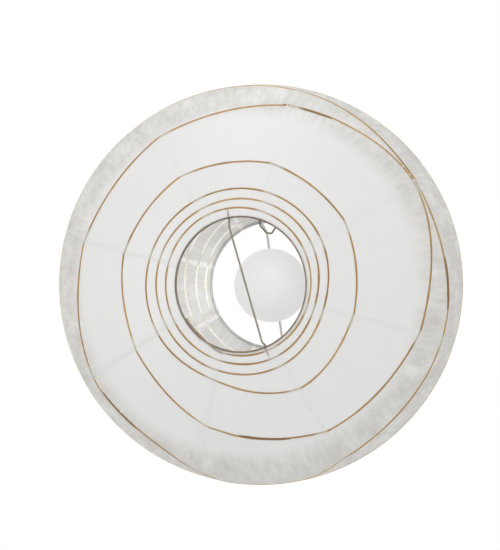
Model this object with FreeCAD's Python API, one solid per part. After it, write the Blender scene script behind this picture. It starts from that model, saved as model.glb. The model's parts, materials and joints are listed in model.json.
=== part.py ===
"""Disc-shaped paper pendant lantern: eight paper gores on a hand-wound bamboo spiral.

Two wire hoops edge the openings, a spring-wire stretcher holds them apart, and a doubled
bridge wire sits on the domed cap of an E27 lamp holder with a globe bulb.
Units are millimetres, +Z up along the axis of the shade. The origin is the mouth of the
cord hole in the cap, where the pendant's flex enters.
"""
import FreeCAD, Part
import math
import os

from FreeCAD import Vector

# Shade
HOOP_R = 85.5            # centreline radius of both wire hoops
HOOP_WIRE = 3.0
SHADE_HEIGHT = 154.0     # between the hoop planes
PAPER_THICK = 0.3
PAPER_START = 1.9        # the paper begins this far outside the hoop's centreline
WIDER_X = 0.016          # the shade is this much wider along X than its mean, and narrower along Y
GORES = 8
FIRST_SEAM = 14.0        # azimuth of one seam, degrees
SEAM_GAP = 0.02          # degrees between two gores
PROFILE_FACE = [(0, 0), (76, 6.0), (127, 15.0), (143, 19.5), (166, 36)]   # beyond the hoop, height
PROFILE_RIM = [(174.5, 53), (176.5, 70), (174.5, 94), (166, 117)]
PROFILE_TOP = [(143, 135), (127, 139.3), (76, 148)]

# Bamboo: distance along the paper from the bottom hoop, where the strip passes each seam
STRIP_WIDE = 2.2
STRIP_THICK = 1.0
STRIP_LENGTH = 611.0     # between splices
SPLICE_LAP = 66.0
FIRST_SPLICE = 596.0     # length of the first strip
WIND_START = 104.0       # azimuth where the winding leaves the bottom hoop, degrees
WOUND_BELOW = [
    [2, 2.5, 3, 5.5, 8.5, 11, 11.5, 12],
    [12.5, 14, 12, 17.5, 20.5, 21.5, 24.5, 24.5],
    [25.5, 27, 23.5, 30.5, 33.5, 35, 38, 39.5],
    [39.5, 63.5, 61, 66.5, 70.5, 73, 74.5, 77],
    [101.5, 127.5, 143.5, 165.5, 150.5, 136.5, 135.5, 153.5],
    [178, 174, 175, 168.5, 184, 193, 188, 190],
    [205, 213, 226, 223, 207, 212, 216, 220],
]
WOUND_ABOVE = [          # the same, measured from the top hoop
    [204, 200, 195, 192, 187, 182, 176, 170],
    [166, 160, 152, 141, 139, 150, 146, 131],
    [118, 104, 92, 80, 76, 73, 69, 66],
    [62, 56, 49, 44, 40, 37, 36, 33],
    [31, 29, 27.5, 26, 23, 21, 19.5, 18.5],
    [17, 15.5, 13.5, 11.5, 9.5, 8, 6.5, 5],
]
WANDERS = {39.7: 160.5, 40.2: 196.0, 40.65: 195.0}   # where it strays between two seams
STRAIGHTER = 0.25        # share of a straight chord that a strip takes between two seams
POINTS_PER_SEAM = 5      # spline points on a strip between two seams

# Stretcher and bridge wires. The stretcher's corners are given in plan, as x and y
STRETCHER_WIRE = 2.4
HOOK_A = [(6.0, -76.5), (1.0, -69.0), (-6.0, -69.5), (-14.9, -79.2), (-15.7, -84.2)]
LEG_A = [(-18, -100), (-22, -112)]
FOOT_A = [(-17.5, -101), (-15.3, -81.6)]
BAR = [(-10.7, -72.8), (32.2, 71.8)]
FOOT_B = [(31.3, 75.8), (40.5, 99)]
LEG_B = [(34, 110), (18, 100)]
HOOK_B = [(15.9, 84.5), (15.2, 78.6), (23.0, 79.5)]
FOOT_RISE_A = 1.6        # of each foot over the ribs, away from the hoop
FOOT_RISE_B = 3.0
HOOK_DIP = 5.0           # of each leg's top under its hook
WIRE_BEND = 3.0          # centreline radius of the bends in all wires
BAR_DROP = 14.0          # the bar across the bottom opening hangs this far below the hoop
BRIDGE_WIRE = 1.6
BRIDGE_RISE = 15.0       # of the bridge above the top hoop
BRIDGE_AZIMUTH = 81.5
BRIDGE_FLAT_TO = 73.0    # the bridge is level out to here from the axis, then bends down
BRIDGE_UP_FROM = 82.0    # and passes under the hoop from here
BRIDGE_END = 88.3        # to here
EYE_FROM = 14.0          # where each wire of the pair leaves the other, from the axis
EYE_CORNER = (7.2, 10.9) # along and across the bridge, where it bows round the eye
EYE_R = 10.0             # centreline radius of the eye that sits on the cap
WIRE_GAP = 0.1           # between wires that rest on each other

# Lamp, along its own axis: heights are measured from the centre of the cap's dome
LAMP_TILT = 13.6         # of the lamp from the shade's axis, degrees
LAMP_TOWARD = 3.0        # azimuth toward which the bulb leans, degrees
DOME_R = 12.5
SEAT_GAP = 0.25          # between the eye and the dome
NECK_R = 5.2
NECK_TOP = 26.0
CORD_HOLE_R = 3.2
CAP_R = 19.5
CAP_BOTTOM = -22.0
WALL = 2.0
SKIRT_BOTTOM = -51.0
SKIRT_BORE_R = 15.0
THREAD_GAP = 0.2         # between parts that screw together
INSERT_R = 14.6
TIP_HEIGHT = -24.7       # where the bulb's tip meets the centre contact
BULB_CAP_R = 13.1
BULB_CAP_BOTTOM = -50.0
GLOBE_R = 47.5
GLOBE_MOUTH_R = 22.0
GLASS = 1.0
HOUSING_LONG = 14.0
CONTACT_R = 3.0
GRUB_R = 1.75
GRUB_HEIGHT = 19.0
GRUB_LONG = 3.0
TERMINAL_OFFSET = 8.0

UP = Vector(0, 0, 1)
BOTTOM = Vector(0, 0, 0)             # centre of the bottom hoop, in the working frame
EYE_HEIGHT = SHADE_HEIGHT + BRIDGE_RISE
DOME_HEIGHT = EYE_HEIGHT - math.sqrt((DOME_R + BRIDGE_WIRE / 2 + SEAT_GAP) ** 2 - EYE_R ** 2)
DOME = Vector(0, 0, DOME_HEIGHT)


def polar(radius, azimuth, z=0.0):
    angle = math.radians(azimuth)
    return Vector(radius * math.cos(angle), radius * math.sin(angle), z)


LAMP_TURN = FreeCAD.Rotation(polar(1, LAMP_TOWARD - 90), LAMP_TILT)
CORD_MOUTH = DOME + LAMP_TURN.multVec(Vector(0, 0, NECK_TOP))


def save(name, shape):
    """Writes one node with its place measured from the cord hole's mouth."""
    placed = shape.copy()
    placed.translate(CORD_MOUTH * -1)
    placed.exportStep("parts/" + name + ".step")
    print(name, len(placed.Solids), round(placed.Volume, 1), placed.isValid())


def save_lamp(name, shape):
    """Writes a node that was drawn upright about the dome's centre."""
    turned = shape.copy()
    turned.Placement = FreeCAD.Placement(DOME, LAMP_TURN).multiply(turned.Placement)
    save(name, turned)


# ---------------------------------------------------------------- shade surface
def profile_curve():
    rim = PROFILE_FACE + PROFILE_RIM + PROFILE_TOP + [(0, SHADE_HEIGHT)]
    start = HOOP_R + PAPER_START
    curve = Part.BSplineCurve()
    curve.interpolate([Vector(start + out, 0, z) for out, z in rim])
    return curve


PROFILE = profile_curve()
PROFILE_LENGTH = PROFILE.length()


def profile_at(distance):
    """Radius, height and outward normal of the paper at a distance along it."""
    u = PROFILE.parameterAtDistance(distance, PROFILE.FirstParameter)
    point = PROFILE.value(u)
    along = PROFILE.tangent(u)[0]
    return point.x, point.z, along.z, -along.x


def on_paper(azimuth, distance, inset=0.0):
    """Point of the shade, moved inward from the paper's outer face by inset."""
    radius, z, out_r, out_z = profile_at(distance)
    share = (radius - HOOP_R - PAPER_START) / PROFILE_FACE[-1][0]
    widening = 1 + WIDER_X * share * math.cos(math.radians(2 * azimuth))
    return polar((radius * widening) - out_r * inset, azimuth, z - out_z * inset)


def closed_solid(faces):
    solid = Part.Solid(Part.Shell(faces))
    if solid.Volume < 0:
        solid.reverse()
    return solid


def surface_through(rows):
    surface = Part.BSplineSurface()
    surface.interpolate(rows)
    return surface


def border(surface, side):
    """One of the four edges of an interpolated surface."""
    u0, u1, v0, v1 = surface.bounds()
    curve = {"u0": lambda: surface.uIso(u0), "u1": lambda: surface.uIso(u1),
             "v0": lambda: surface.vIso(v0), "v1": lambda: surface.vIso(v1)}[side]()
    return curve.toShape()


def gore(first_azimuth):
    """One paper panel from hoop to hoop, between two seams."""
    across, along = 9, 33
    span = 360.0 / GORES - SEAM_GAP
    sheets = []
    for inset in (0.0, PAPER_THICK):
        rows = [[on_paper(first_azimuth + span * i / (across - 1),
                          PROFILE_LENGTH * j / (along - 1), inset)
                 for j in range(along)] for i in range(across)]
        sheets.append(surface_through(rows))
    outer, inner = sheets
    faces = [outer.toShape(), inner.toShape()]
    for side in ("u0", "u1", "v0", "v1"):
        faces.append(Part.makeRuledSurface(border(outer, side), border(inner, side)))
    return closed_solid(faces)


# ---------------------------------------------------------------- bamboo winding
def winding_table():
    """Seam steps and distances along the paper, in order."""
    below = [d for turn in WOUND_BELOW for d in turn]
    above = [PROFILE_LENGTH - d for turn in WOUND_ABOVE for d in turn]
    return sorted(list(enumerate(below + above)) + list(WANDERS.items()))


WINDING = winding_table()
LAST_STEP = WINDING[-1][0]
SEAM_ANGLE = 360.0 / GORES
SEAM_SAGITTA = 1 - math.cos(math.radians(SEAM_ANGLE / 2))


def smooth_step(x, low, high):
    t = min(max((x - low) / (high - low), 0), 1)
    return t * t * (3 - 2 * t)


def straightened(steps, distance):
    """On the open faces a strip runs a little straighter than a circle between two seams."""
    near_hoop = min(distance, PROFILE_LENGTH - distance)
    share = smooth_step(near_hoop, 35, 70) * (1 - smooth_step(near_hoop, 150, 190)) * STRAIGHTER
    t = steps % 1
    shift = share * 4 * t * (1 - t) * SEAM_SAGITTA * (HOOP_R + near_hoop)
    return distance - shift if distance < PROFILE_LENGTH / 2 else distance + shift


def winding_at(steps):
    """Azimuth and distance along the paper after so many seams, counted from the bottom hoop."""
    i = max(k for k in range(len(WINDING) - 1) if WINDING[k][0] <= steps)
    (s0, before), (s1, here) = WINDING[max(i - 1, 0)], WINDING[i]
    (s2, after), (s3, later) = WINDING[i + 1], WINDING[min(i + 2, len(WINDING) - 1)]
    span, t = s2 - s1, (steps - s1) / (s2 - s1)
    rise_here, rise_after = (after - before) / (s2 - s0) * span, (later - here) / (s3 - s1) * span
    distance = (here * (1 + 2 * t) * (1 - t) ** 2 + rise_here * t * (1 - t) ** 2
                + after * t * t * (3 - 2 * t) + rise_after * t * t * (t - 1))
    return WIND_START - steps * SEAM_ANGLE, straightened(steps, distance)


def winding_lengths():
    """Running length of the winding at every fifth of a seam step."""
    count = LAST_STEP * POINTS_PER_SEAM
    stops = [i / POINTS_PER_SEAM for i in range(count + 1)]
    points = [on_paper(*winding_at(s)) for s in stops]
    lengths = [0.0]
    for a, b in zip(points, points[1:]):
        lengths.append(lengths[-1] + (b - a).Length)
    return stops, lengths


STOPS, LENGTHS = winding_lengths()


def steps_at(length):
    """Seam steps after a running length of the winding."""
    for i in range(1, len(LENGTHS)):
        if LENGTHS[i] >= length:
            share = (length - LENGTHS[i - 1]) / (LENGTHS[i] - LENGTHS[i - 1])
            return STOPS[i - 1] + share * (STOPS[i] - STOPS[i - 1])
    return STOPS[-1]


def strip(start, end, lapped):
    """One bamboo strip under the paper. A lapped strip dives under the next one at its end."""
    inset_free = PAPER_THICK + WIRE_GAP
    lap_at = end - SPLICE_LAP
    ramp = SPLICE_LAP / 2
    corners = [[], [], [], []]
    pieces = max(6, round((end - start) / 26))
    for i in range(pieces + 1):
        length = start + (end - start) * i / pieces
        azimuth, distance = winding_at(steps_at(length))
        dive = min(max((length - lap_at + ramp) / ramp, 0), 1) if lapped else 0
        inset = inset_free + dive * (STRIP_THICK + WIRE_GAP)
        for k, (shift, depth) in enumerate(((-0.5, 0), (0.5, 0), (0.5, 1), (-0.5, 1))):
            corners[k].append(on_paper(azimuth, distance + shift * STRIP_WIDE,
                                       inset + depth * STRIP_THICK))
    edges = []
    for points in corners:
        curve = Part.BSplineCurve()
        curve.interpolate(points)
        edges.append(curve.toShape())
    faces = [Part.makeRuledSurface(edges[k], edges[(k + 1) % 4]) for k in range(4)]
    for end_index in (0, -1):
        ring = [points[end_index] for points in corners]
        faces.append(Part.makeRuledSurface(Part.makeLine(ring[0], ring[1]),
                                           Part.makeLine(ring[3], ring[2])))
    return closed_solid(faces)


# ---------------------------------------------------------------- wires
def bent_wire(points, diameter, bend):
    """Round wire along straight runs that are joined by tangent arcs."""
    edges = []
    start = points[0]
    for before, corner, after in zip(points, points[1:], points[2:]):
        back = (before - corner).normalize()
        on = (after - corner).normalize()
        half = back.getAngle(on) / 2
        trim = bend / math.tan(half)
        inward = (back + on).normalize()
        middle = corner + inward * (bend / math.sin(half) - bend)
        a, b = corner + back * trim, corner + on * trim
        edges += [Part.LineSegment(start, a).toShape(), Part.Arc(a, middle, b).toShape()]
        start = b
    edges.append(Part.LineSegment(start, points[-1]).toShape())
    path = Part.Wire(edges)
    section = Part.Circle(points[0], points[1] - points[0], diameter / 2).toShape()
    return path.makePipeShell([Part.Wire(section)], True, False)


def at_heights(plan, heights):
    return [Vector(x, y, z) for (x, y), z in zip(plan, heights)]


def stretcher():
    """Open wire: hook, leg, foot, dropped bar, foot, leg, hook. It rests inside both hoops."""
    foot = (HOOP_WIRE + STRETCHER_WIRE) / 2 + WIRE_GAP
    shelf, half = SHADE_HEIGHT - foot, SHADE_HEIGHT / 2
    points = at_heights(HOOK_A, [shelf] * len(HOOK_A))
    points += at_heights(LEG_A, [shelf - HOOK_DIP, half]) + at_heights(FOOT_A, [foot + FOOT_RISE_A, foot])
    points += at_heights(BAR, [-BAR_DROP] * 2)
    points += at_heights(FOOT_B, [foot, foot + FOOT_RISE_B]) + at_heights(LEG_B, [half, shelf - HOOK_DIP])
    points += at_heights(HOOK_B, [shelf] * len(HOOK_B))
    return bent_wire(points, STRETCHER_WIRE, WIRE_BEND)


def bridge_wire(side):
    """One of the two bridge wires. Each bows round its half of the eye."""
    along = polar(1, BRIDGE_AZIMUTH)
    aside = polar(1, BRIDGE_AZIMUTH + 90) * side
    pair = (BRIDGE_WIRE + WIRE_GAP) / 2
    under_hoop = SHADE_HEIGHT - (HOOP_WIRE + BRIDGE_WIRE) / 2 - WIRE_GAP
    half = [(BRIDGE_END, pair, under_hoop), (BRIDGE_UP_FROM, pair, under_hoop),
            (BRIDGE_FLAT_TO, pair, EYE_HEIGHT), (EYE_FROM, pair, EYE_HEIGHT), (*EYE_CORNER, EYE_HEIGHT)]
    points = [along * -t + aside * s + Vector(0, 0, z) for t, s, z in half]
    points += [along * t + aside * s + Vector(0, 0, z) for t, s, z in reversed(half)]
    return bent_wire(points, BRIDGE_WIRE, WIRE_BEND)


# ---------------------------------------------------------------- lamp
def turned(outline):
    """Solid of revolution about Z from (radius, height) corners."""
    points = [Vector(r, 0, z) for r, z in outline]
    face = Part.Face(Part.makePolygon(points + points[:1]))
    return face.revolve(Vector(), UP, 360)


def tube(r_out, r_in, low, high):
    return turned([(r_in, low), (r_out, low), (r_out, high), (r_in, high)])


def rod(radius, low, high, x=0.0, y=0.0):
    return Part.makeCylinder(radius, high - low, Vector(x, y, low))


def holder_cap():
    """Domed cap with a neck for the flex. The bridge's eye rests on the dome."""
    dome = Part.makeSphere(DOME_R, Vector(), UP, 0, 90, 360)
    neck = rod(NECK_R, 0, NECK_TOP)
    body = turned([(0, 0), (DOME_R, 0), (DOME_R, -2), (CAP_R, -8), (CAP_R, CAP_BOTTOM), (0, CAP_BOTTOM)])
    hollow = turned([(0, -3), (DOME_R - WALL, -3), (CAP_R - WALL, -9),
                     (CAP_R - WALL, CAP_BOTTOM - 1), (0, CAP_BOTTOM - 1)])
    grub = Part.makeCylinder(GRUB_R + 0.05, NECK_R * 2, Vector(0, 0, GRUB_HEIGHT), Vector(0, 1, 0))
    cap = dome.fuse([neck, body]).cut(hollow)
    return cap.cut(rod(CORD_HOLE_R, -4, NECK_TOP + 1)).cut(grub).removeSplitter()


def grub_screw():
    head = CORD_HOLE_R + GRUB_LONG
    screw = Part.makeCylinder(GRUB_R, GRUB_LONG, Vector(0, CORD_HOLE_R, GRUB_HEIGHT), Vector(0, 1, 0))
    slot = Part.makeBox(0.6, 1.0, 4, Vector(-0.3, head - 0.7, GRUB_HEIGHT - 2))
    return screw.cut(slot)


def holder_skirt():
    """Sleeve that screws up into the cap and shrouds the bulb's cap."""
    spigot_r = CAP_R - WALL - THREAD_GAP
    rim = CAP_BOTTOM - 0.3
    return turned([(SKIRT_BORE_R, SKIRT_BOTTOM), (CAP_R, SKIRT_BOTTOM), (CAP_R, rim),
                   (spigot_r, rim), (spigot_r, rim + 9), (SKIRT_BORE_R, rim + 9)])


def insert():
    """Ceramic body that carries the contacts and the terminals."""
    block = rod(INSERT_R, -20, -10)
    plunger = rod(CONTACT_R + 0.2, -21, -14)
    pockets = [Part.makeBox(5.2, 5.2, 8, Vector(s * TERMINAL_OFFSET - 2.6, -2.6, -16)) for s in (-1, 1)]
    return block.cut(plunger).cut(pockets[0]).cut(pockets[1])


def terminals():
    return [Part.makeBox(5, 5, 5, Vector(s * TERMINAL_OFFSET - 2.5, -2.5, -15.9)) for s in (-1, 1)]


def terminal_screws():
    return [rod(1.5, -10.8, -8.6, s * TERMINAL_OFFSET) for s in (-1, 1)]


def screw_shell():
    """Thin threaded shell that takes the bulb, with a rim under the insert."""
    return tube(14.2, BULB_CAP_R + 0.4, -48, -20.1).fuse(
        tube(BULB_CAP_R + 0.5, 7, -20.9, -20.1)).removeSplitter()


def centre_contact():
    return rod(CONTACT_R, -24.6, -16.5)


def bulb_parts():
    mouth = GLOBE_MOUTH_R
    housing_low = BULB_CAP_BOTTOM - HOUSING_LONG
    centre = housing_low - math.sqrt(GLOBE_R ** 2 - mouth ** 2)
    ball = Part.makeSphere(GLOBE_R, Vector(0, 0, centre))
    inside = Part.makeSphere(GLOBE_R - GLASS, Vector(0, 0, centre))
    above = Part.makeBox(120, 120, 60, Vector(-60, -60, housing_low))
    return {
        "bulb_tip_contact": turned([(0, TIP_HEIGHT), (3.5, TIP_HEIGHT), (4.6, TIP_HEIGHT - 1.0),
                                    (0, TIP_HEIGHT - 1.0)]),
        "bulb_insulator": turned([(0, TIP_HEIGHT - 1.0), (4.8, TIP_HEIGHT - 1.0), (11.5, -29), (0, -29)]),
        "bulb_screw_cap": tube(BULB_CAP_R, BULB_CAP_R - 0.5, BULB_CAP_BOTTOM, -30).fuse(
            turned([(0, -29), (11.5, -29), (BULB_CAP_R, -30), (BULB_CAP_R - 0.5, -30.5), (0, -29.5)])),
        "bulb_housing": turned([(BULB_CAP_R + 0.6, BULB_CAP_BOTTOM), (mouth, housing_low),
                                (mouth - WALL, housing_low), (BULB_CAP_R - 1.4, BULB_CAP_BOTTOM)]),
        "bulb_globe": ball.cut(inside).cut(above),
        "led_plate": rod(mouth - WALL - 2.0, housing_low + 0.8, housing_low + 2.4),
        "driver_board": Part.makeBox(16, 1.6, 22, Vector(-8, -0.8, -54)),
    }


def main():
    os.makedirs("parts", exist_ok=True)
    save("bottom_hoop", Part.makeTorus(HOOP_R, HOOP_WIRE / 2, BOTTOM))
    save("top_hoop", Part.makeTorus(HOOP_R, HOOP_WIRE / 2, BOTTOM + UP * SHADE_HEIGHT))
    save("stretcher_wire", stretcher())
    save("bridge_wire_left", bridge_wire(1))
    save("bridge_wire_right", bridge_wire(-1))
    for i in range(GORES):
        save(f"gore_{i + 1}", gore(FIRST_SEAM + i * SEAM_ANGLE))
    total = LENGTHS[-1]
    starts = [0.0]
    while starts[-1] + STRIP_LENGTH + SPLICE_LAP < total:
        starts.append(FIRST_SPLICE if starts[-1] == 0 else starts[-1] + STRIP_LENGTH)
    for i, start in enumerate(starts):
        last = i == len(starts) - 1
        end = total if last else starts[i + 1] + SPLICE_LAP
        save(f"rib_{i + 1:02d}", strip(start, end, not last))
    print("splices at turns", [round(steps_at(s) / GORES, 2) for s in starts], "total", round(total))
    save_lamp("holder_cap", holder_cap())
    save_lamp("cord_grip_screw", grub_screw())
    save_lamp("holder_skirt", holder_skirt())
    save_lamp("holder_insert", insert())
    save_lamp("terminal_blocks", Part.makeCompound(terminals()))
    save_lamp("terminal_screws", Part.makeCompound(terminal_screws()))
    save_lamp("screw_shell", screw_shell())
    save_lamp("centre_contact", centre_contact())
    for name, shape in bulb_parts().items():
        save_lamp(name, shape)
    print("profile length", round(PROFILE_LENGTH, 1), "dome", DOME, "cord mouth", CORD_MOUTH)


main()
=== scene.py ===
"""Looks of the paper lantern: paper gores, wound bamboo, wires and the lamp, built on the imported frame."""

import json
import math

import bpy
import numpy as np
from mathutils import Matrix, Vector

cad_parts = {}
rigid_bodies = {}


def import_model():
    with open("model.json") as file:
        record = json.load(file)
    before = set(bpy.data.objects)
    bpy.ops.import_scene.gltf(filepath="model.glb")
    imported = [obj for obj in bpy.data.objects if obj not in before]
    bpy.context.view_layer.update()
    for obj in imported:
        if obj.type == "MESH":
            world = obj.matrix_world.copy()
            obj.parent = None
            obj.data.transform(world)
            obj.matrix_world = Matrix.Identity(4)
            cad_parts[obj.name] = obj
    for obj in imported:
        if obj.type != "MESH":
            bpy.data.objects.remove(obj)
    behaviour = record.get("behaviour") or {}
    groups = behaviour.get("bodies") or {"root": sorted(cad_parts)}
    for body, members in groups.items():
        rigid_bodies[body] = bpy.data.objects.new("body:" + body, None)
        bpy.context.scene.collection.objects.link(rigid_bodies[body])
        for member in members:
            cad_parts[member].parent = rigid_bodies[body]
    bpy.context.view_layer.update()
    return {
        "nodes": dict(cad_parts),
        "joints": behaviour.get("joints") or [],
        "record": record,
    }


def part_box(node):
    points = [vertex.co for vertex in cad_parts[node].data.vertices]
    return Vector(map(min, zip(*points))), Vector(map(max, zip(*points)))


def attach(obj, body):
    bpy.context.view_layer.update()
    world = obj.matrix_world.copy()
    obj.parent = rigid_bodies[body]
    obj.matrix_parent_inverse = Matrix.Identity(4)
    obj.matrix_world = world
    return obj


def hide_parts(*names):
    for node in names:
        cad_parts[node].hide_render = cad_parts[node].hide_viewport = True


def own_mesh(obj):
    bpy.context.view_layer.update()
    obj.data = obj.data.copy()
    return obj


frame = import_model()

MM = 0.001

# Driving sizes of the shade, in millimetres, as in the CAD source
HOOP_R = 85.5
HOOP_WIRE = 3.0
SHADE_HEIGHT = 154.0
PAPER_START = 1.9
WIDER_X = 0.016
GORES = 8
FIRST_SEAM = 14.0
PROFILE = [(0, 0), (76, 6.0), (127, 15.0), (143, 19.5), (166, 36), (174.5, 53), (176.5, 70),
           (174.5, 94), (166, 117), (143, 135), (127, 139.3), (76, 148), (0, SHADE_HEIGHT)]
WIDEST = 166.0           # of PROFILE, where the widening along X is whole
WIDEST_R = HOOP_R + PAPER_START + WIDEST

STRIP_WIDE = 2.2
STRIP_THICK = 1.0
STRIP_LENGTH = 611.0
SPLICE_LAP = 66.0
FIRST_SPLICE = 596.0
WIND_START = 104.0
WOUND_BELOW = [
    [2, 2.5, 3, 5.5, 8.5, 11, 11.5, 12],
    [12.5, 14, 12, 17.5, 20.5, 21.5, 24.5, 24.5],
    [25.5, 27, 23.5, 30.5, 33.5, 35, 38, 39.5],
    [39.5, 63.5, 61, 66.5, 70.5, 73, 74.5, 77],
    [101.5, 127.5, 143.5, 165.5, 150.5, 136.5, 135.5, 153.5],
    [178, 174, 175, 168.5, 184, 193, 188, 190],
    [205, 213, 226, 223, 207, 212, 216, 220],
]
WOUND_ABOVE = [          # the same, measured from the top hoop
    [204, 200, 195, 192, 187, 182, 176, 170],
    [166, 160, 152, 141, 139, 150, 146, 131],
    [118, 104, 92, 80, 76, 73, 69, 66],
    [62, 56, 49, 44, 40, 37, 36, 33],
    [31, 29, 27.5, 26, 23, 21, 19.5, 18.5],
    [17, 15.5, 13.5, 11.5, 9.5, 8, 6.5, 5],
]
WANDERS = {39.7: 160.5, 40.2: 196.0, 40.65: 195.0}   # where it strays between two seams
STRAIGHTER = 0.25

# Looks of the paper, in millimetres
LAP = 6.0                # of one gore over the next, at a seam
LAP_LIFT = 0.22
HOOP_COVER = 1.75        # from the hoop's centreline to the paper folded round it
PAPER_COLUMNS = 84
PAPER_ROW = 1.7          # length of one mesh row along the paper
WRINKLE_FACE = 0.07
WRINKLE_RIM = 0.34
PUCKER_FACE = 0.05       # height of the puckers beside a seam
PUCKER_RIM = 0.55        # added to it at the rim
PUCKER_REACH = 16.0      # from the seam
WRINKLE_DEPTH = (-1.2, 2.5)       # how far the wrinkles may move the paper out and in
DEEPEST_SAG = 5.0
SLACK = 0.012            # of the gap between two passes, as sag on a flat stretch
TIED_FOR = 14.0          # along the paper from each hoop, where it has no wrinkles yet
REST_INSET = 0.25
GRAIN_ACROSS, GRAIN_ALONG = 7.0, 24.0   # size of one mottle of the paper
WRAP_TOP = [20, 50, 80, 110, 140, 170, 200, 230, 260, 290, 320]   # degrees round the top hoop, from outside
WRAP_BOTTOM = [15, 40, 65]
RIM_FROM, RIM_TO = 212.0, 238.0   # radii between which the paper turns into the wrinkled rim, mottled darker: its own patchy tone and painted shade
UPPER_FROM = (230.0, 300.0)       # and the distances along it where the upper side turns mottled and darker, partly painted shade
UPPER_MOTTLE_AND_SHADE = 0.75                 # as a share of the rim's mottle and painted shade

# Stretcher wire, in millimetres. Its corners are given in plan, as in the CAD source
STRETCHER_WIRE = 2.4
HOOK_A = [(6.0, -76.5), (1.0, -69.0), (-6.0, -69.5), (-14.9, -79.2), (-15.7, -84.2)]
LEG_A = [(-18, -100), (-22, -112)]
FOOT_A = [(-17.5, -101), (-15.3, -81.6)]
BAR = [(-10.7, -72.8), (32.2, 71.8)]
FOOT_B = [(31.3, 75.8), (40.5, 99)]
LEG_B = [(34, 110), (18, 100)]
HOOK_B = [(15.9, 84.5), (15.2, 78.6), (23.0, 79.5)]
FOOT_RISE_A = 1.6
FOOT_RISE_B = 3.0
HOOK_DIP = 5.0
WIRE_BEND = 3.0
BAR_DROP = 14.0
WIRE_GAP = 0.1

# Thread bindings of the hoop, in millimetres
THREAD_R = 0.30
THREAD_OUT = 0.28        # from the wire's surface to the thread's centre
THREAD_TURNS = 7
THREAD_PITCH = 1.15
BOUND_AT = [-124.5, -165.0, 128.0]      # azimuths on the bottom hoop

# Globe of the bulb, in millimetres
GLOBE_R = 47.5
GLOBE_MOUTH_R = 22.0
GLASS = 1.0

SEAM_ANGLE = 360.0 / GORES
rng = np.random.default_rng(7)


def middle(node):
    low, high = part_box(node)
    return (low + high) / 2


CENTRE = middle("bottom_hoop")       # the shade is drawn about the bottom hoop's centre
ORIGIN = np.array(CENTRE)


# ---------------------------------------------------------------- the shade's surface
def spline(points):
    """Dense points on the natural cubic spline through points, with chord lengths as its parameter."""
    p = np.array(points, float)
    t = np.r_[0, np.cumsum(np.linalg.norm(np.diff(p, axis=0), axis=1))]
    n, h = len(p), np.diff(t)
    system, right = np.eye(n), np.zeros((n, 2))
    for i in range(1, n - 1):
        system[i, i - 1:i + 2] = h[i - 1], 2 * (h[i - 1] + h[i]), h[i]
        right[i] = 6 * ((p[i + 1] - p[i]) / h[i] - (p[i] - p[i - 1]) / h[i - 1])
    bend = np.linalg.solve(system, right)
    x = np.linspace(0, t[-1], 4001)
    k = np.clip(np.searchsorted(t, x) - 1, 0, n - 2)
    a, b = ((t[k + 1] - x) / h[k])[:, None], ((x - t[k]) / h[k])[:, None]
    bending = (a ** 3 - a) * bend[k] + (b ** 3 - b) * bend[k + 1]
    return a * p[k] + b * p[k + 1] + bending * (h[k] ** 2)[:, None] / 6


DENSE = spline(PROFILE)
DISTANCE = np.r_[0, np.cumsum(np.linalg.norm(np.diff(DENSE, axis=0), axis=1))]
LENGTH = DISTANCE[-1]
TANGENT = np.gradient(DENSE, DISTANCE, axis=0)
CURVATURE = np.linalg.norm(np.gradient(TANGENT, DISTANCE, axis=0), axis=1)


def radius_at(distance):
    return HOOP_R + PAPER_START + np.interp(distance, DISTANCE, DENSE[:, 0])


def on_paper(azimuth, distance, inset=0.0):
    """Points of the shade in the row frame, moved inward from the paper's outer face by inset."""
    azimuth, distance, inset = np.broadcast_arrays(azimuth, distance, inset)
    out = np.interp(distance, DISTANCE, DENSE[:, 0])
    z = np.interp(distance, DISTANCE, DENSE[:, 1])
    along_r = np.interp(distance, DISTANCE, TANGENT[:, 0])
    along_z = np.interp(distance, DISTANCE, TANGENT[:, 1])
    angle = np.radians(azimuth)
    radius = HOOP_R + PAPER_START + out
    radius = radius * (1 + WIDER_X * out / WIDEST * np.cos(2 * angle)) - along_z * inset
    points = np.stack([radius * np.cos(angle), radius * np.sin(angle), z + along_r * inset], -1)
    return ORIGIN + points * MM


def waves(count, lengths, stretch, seed):
    """A repeatable ripple: a sum of plane waves over (across, along), streaked along by stretch."""
    draw = np.random.default_rng(seed)
    length = draw.uniform(*lengths, count)
    turn = draw.uniform(-0.5, 0.5, count)
    across, along = np.cos(turn) / length, np.sin(turn) / length / stretch
    phase = draw.uniform(0, 2 * math.pi, count)

    def ripple(u, v):
        total = sum(np.sin(2 * math.pi * (a * u + b * v) + p) for a, b, p in zip(across, along, phase))
        return total / math.sqrt(count)
    return ripple


def smooth_step(x, low, high):
    t = np.clip((x - low) / (high - low), 0, 1)
    return t * t * (3 - 2 * t)


# ---------------------------------------------------------------- the winding
WINDING = ([d for turn in WOUND_BELOW for d in turn] + [LENGTH - d for turn in WOUND_ABOVE for d in turn])
LAST_STEP = len(WINDING) - 1
KNOTS = np.array(sorted(list(enumerate(WINDING)) + list(WANDERS.items())))
SEAM_SAGITTA = 1 - math.cos(math.radians(SEAM_ANGLE / 2))


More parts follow.
